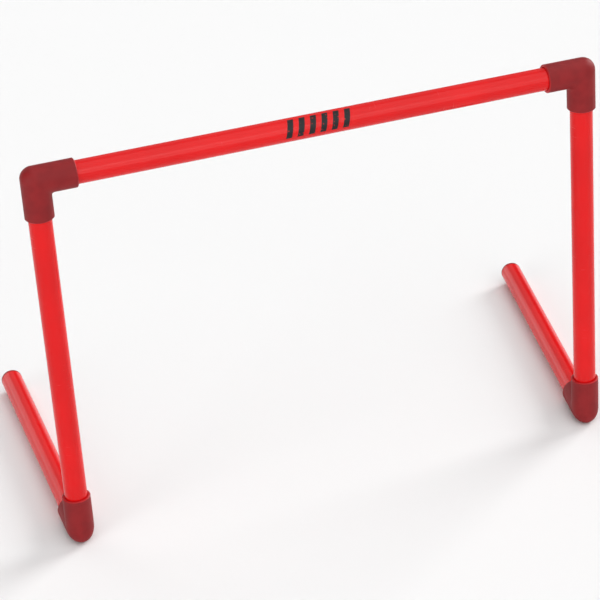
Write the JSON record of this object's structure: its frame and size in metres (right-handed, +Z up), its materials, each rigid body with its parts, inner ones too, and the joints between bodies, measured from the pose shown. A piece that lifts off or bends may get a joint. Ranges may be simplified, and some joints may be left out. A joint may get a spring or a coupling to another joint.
{
  "type": "speed hurdle",
  "caption": "Low tube hurdle for sprint and agility drills: a straight bar on uprights with rear feet, joined by moulded elbows; each foot swivels on its upright.",
  "frame": {"origin": "middle of the whole hurdle's box, on the floor, with the right foot swivelled outward as it stands in the picture", "axes": "+X along the crossbar towards the swivelled-out foot, +Y back along the feet, +Z up"},
  "size_m": [0.6908, 0.3718, 0.4601],
  "materials": {
    "tube": "glossy extruded red plastic",
    "elbow": "satin moulded dark red plastic",
    "plug": "satin moulded dark red plastic"
  },
  "bodies": {
    "frame": {"crossbar": "tube", "left_upright": "tube", "right_upright": "tube", "upper_left_elbow": "elbow", "upper_right_elbow": "elbow"},
    "left_foot": {"lower_left_elbow": "elbow", "left_foot_tube": "tube", "left_end_plug": "plug"},
    "right_foot": {"lower_right_elbow": "elbow", "right_foot_tube": "tube", "right_end_plug": "plug"}
  },
  "joints": [
    {"name": "left_foot_swivel", "type": "hinge", "parent": "frame", "child": "left_foot", "pos_m": [-0.32963, -0.17012, 0.01575], "axis": [0, 0, 1], "range_deg": [-50, 90]},
    {"name": "right_foot_swivel", "type": "hinge", "parent": "frame", "child": "right_foot", "pos_m": [0.28037, -0.17012, 0.01575], "axis": [0, 0, -1], "range_deg": [-58.5, 81.5]}
  ]
}
